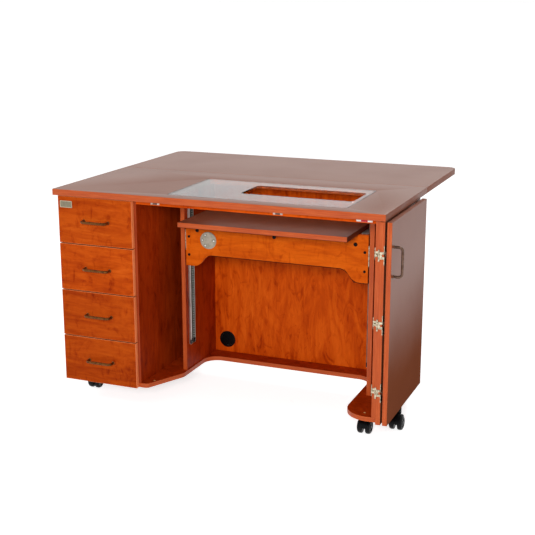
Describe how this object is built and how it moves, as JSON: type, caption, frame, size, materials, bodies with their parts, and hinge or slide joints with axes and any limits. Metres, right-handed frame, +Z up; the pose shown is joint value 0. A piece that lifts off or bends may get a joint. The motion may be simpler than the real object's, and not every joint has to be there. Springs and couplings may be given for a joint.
{
  "type": "sewing cabinet",
  "caption": "Sewing cabinet on casters with drawers, a machine lift under a clear insert, a folding double door and a drop leaf held up by struts behind.",
  "frame": {"origin": "on the ground under the middle of the whole outline, with the leaf up and the doors folded open", "axes": "+Z up, front (drawers and knee space) towards -Y, drawers at -X, folded doors at +X"},
  "size_m": [1.25, 1.0034, 0.77],
  "materials": {
    "laminate_top": "satin cherry laminate",
    "laminate": "satin dark cherry laminate",
    "cherry": "satin figured cherry laminate",
    "inner_cherry": "satin dark cherry laminate",
    "pale_wood": "sealed plywood",
    "clear_acrylic": "polished clear acrylic",
    "zinc_steel": "zinc plated",
    "nickel": "nickel plated",
    "bronze": "brushed bronze",
    "black_plastic": "moulded",
    "wheel_plastic": "moulded",
    "satin_plate": "satin",
    "grey_plate": "satin",
    "black_steel": "black oxide"
  },
  "bodies": {
    "cabinet": {"worktop": "laminate_top", "front_rail": "cherry", "left_side": "laminate", "drawer_partition": "inner_cherry", "lift_partitions": "inner_cherry", "right_side": "laminate", "floor_panel": "inner_cherry", "back_panel": "cherry", "drawer_rails": "zinc_steel", "lift_rails": "zinc_steel", "door_catches": "zinc_steel", "door_hinge_plates": "nickel", "leaf_hinge_plates": "zinc_steel", "strut_wall_plates": "zinc_steel", "cable_grommet": "black_plastic"},
    "insert": {"machine_insert": "clear_acrylic"},
    "lift": {"lift_platform": "laminate", "lift_brace": "cherry", "lift_carriages": "zinc_steel", "brace_plate": "grey_plate", "brace_screws": "black_steel"},
    "inner_door": {"door_inner": "laminate", "door_hinge_wings": "nickel", "fold_leaves_inner": "nickel", "door_inner_strikes": "zinc_steel"},
    "outer_door": {"door_outer": "laminate", "fold_leaves_outer": "nickel", "door_outer_strike": "zinc_steel", "door_handle": "bronze"},
    "leaf": {"rear_leaf": "laminate_top", "leaf_hinge_wings": "zinc_steel", "leaf_arms": "zinc_steel"},
    "struts": {"leaf_struts": "zinc_steel"},
    "drawer_1": {"drawer_front_1": "cherry", "drawer_box_1": "pale_wood", "drawer_runners_1": "zinc_steel", "drawer_handle_1": "bronze", "name_plate": "satin_plate"},
    "drawer_2": {"drawer_front_2": "cherry", "drawer_box_2": "pale_wood", "drawer_runners_2": "zinc_steel", "drawer_handle_2": "bronze"},
    "drawer_3": {"drawer_front_3": "cherry", "drawer_box_3": "pale_wood", "drawer_runners_3": "zinc_steel", "drawer_handle_3": "bronze"},
    "drawer_4": {"drawer_front_4": "cherry", "drawer_box_4": "pale_wood", "drawer_runners_4": "zinc_steel", "drawer_handle_4": "bronze"},
    "caster_1": {"caster_fork_1": "black_plastic"},
    "wheels_1": {"caster_wheels_1": "wheel_plastic"},
    "caster_2": {"caster_fork_2": "black_plastic"},
    "wheels_2": {"caster_wheels_2": "wheel_plastic"},
    "caster_3": {"caster_fork_3": "black_plastic"},
    "wheels_3": {"caster_wheels_3": "wheel_plastic"},
    "caster_4": {"caster_fork_4": "black_plastic"},
    "wheels_4": {"caster_wheels_4": "wheel_plastic"},
    "caster_5": {"caster_fork_5": "black_plastic"},
    "wheels_5": {"caster_wheels_5": "wheel_plastic"}
  },
  "joints": [
    {"name": "drawer_1_slide", "type": "slide", "parent": "cabinet", "child": "drawer_1", "axis": [0, -1, 0], "range_m": [0, 0.3]},
    {"name": "drawer_2_slide", "type": "slide", "parent": "cabinet", "child": "drawer_2", "axis": [0, -1, 0], "range_m": [0, 0.3]},
    {"name": "drawer_3_slide", "type": "slide", "parent": "cabinet", "child": "drawer_3", "axis": [0, -1, 0], "range_m": [0, 0.3]},
    {"name": "drawer_4_slide", "type": "slide", "parent": "cabinet", "child": "drawer_4", "axis": [0, -1, 0], "range_m": [0, 0.3]},
    {"name": "lift_slide", "type": "slide", "parent": "cabinet", "child": "lift", "axis": [0, 0, 1], "range_m": [-0.33, 0.08]},
    {"name": "insert_lift", "type": "slide", "parent": "cabinet", "child": "insert", "axis": [0, 0, 1], "range_m": [0, 0.05]},
    {"name": "door_swing", "type": "hinge", "parent": "cabinet", "child": "inner_door", "pos_m": [0.552, -0.47475, 0.408], "axis": [0, 0, 1], "range_deg": [-270, 0]},
    {"name": "door_fold", "type": "hinge", "parent": "inner_door", "child": "outer_door", "pos_m": [0.573, -0.03775, 0.408], "axis": [0, 0, 1], "range_deg": [0, 180]},
    {"name": "leaf_fold", "type": "hinge", "parent": "cabinet", "child": "leaf", "pos_m": [-0.025, 0.03225, 0.7445], "axis": [1, 0, 0], "range_deg": [-90, 0]},
    {"name": "strut_swing", "type": "hinge", "parent": "cabinet", "child": "struts", "pos_m": [-0.025, 0.01675, 0.6], "axis": [1, 0, 0], "range_deg": [-128.5, 0]},
    {"name": "caster_1_swivel", "type": "hinge", "parent": "cabinet", "child": "caster_1", "pos_m": [-0.565, -0.37025, 0.06], "axis": [0, 0, 1], "continuous": true},
    {"name": "caster_1_roll", "type": "hinge", "parent": "caster_1", "child": "wheels_1", "pos_m": [-0.565, -0.35025, 0.025], "axis": [1, 0, 0], "continuous": true},
    {"name": "caster_2_swivel", "type": "hinge", "parent": "cabinet", "child": "caster_2", "pos_m": [0.495, -0.37025, 0.06], "axis": [0, 0, 1], "continuous": true},
    {"name": "caster_2_roll", "type": "hinge", "parent": "caster_2", "child": "wheels_2", "pos_m": [0.495, -0.39025, 0.025], "axis": [1, 0, 0], "continuous": true},
    {"name": "caster_3_swivel", "type": "hinge", "parent": "cabinet", "child": "caster_3", "pos_m": [-0.565, -0.05225, 0.06], "axis": [0, 0, 1], "continuous": true},
    {"name": "caster_3_roll", "type": "hinge", "parent": "caster_3", "child": "wheels_3", "pos_m": [-0.565, -0.03225, 0.025], "axis": [1, 0, 0], "continuous": true},
    {"name": "caster_4_swivel", "type": "hinge", "parent": "cabinet", "child": "caster_4", "pos_m": [0.495, -0.05225, 0.06], "axis": [0, 0, 1], "continuous": true},
    {"name": "caster_4_roll", "type": "hinge", "parent": "caster_4", "child": "wheels_4", "pos_m": [0.495, -0.03225, 0.025], "axis": [1, 0, 0], "continuous": true},
    {"name": "caster_5_swivel", "type": "hinge", "parent": "outer_door", "child": "caster_5", "pos_m": [0.5845, -0.29825, 0.06], "axis": [0, 0, 1], "continuous": true},
    {"name": "caster_5_roll", "type": "hinge", "parent": "caster_5", "child": "wheels_5", "pos_m": [0.5845, -0.31825, 0.025], "axis": [1, 0, 0], "continuous": true}
  ],
  "couplings": [
    {"joint": "door_fold", "follows": "door_swing", "ratio": -0.66666},
    {"joint": "strut_swing", "follows": "leaf_fold", "ratio": 1.4267}
  ]
}
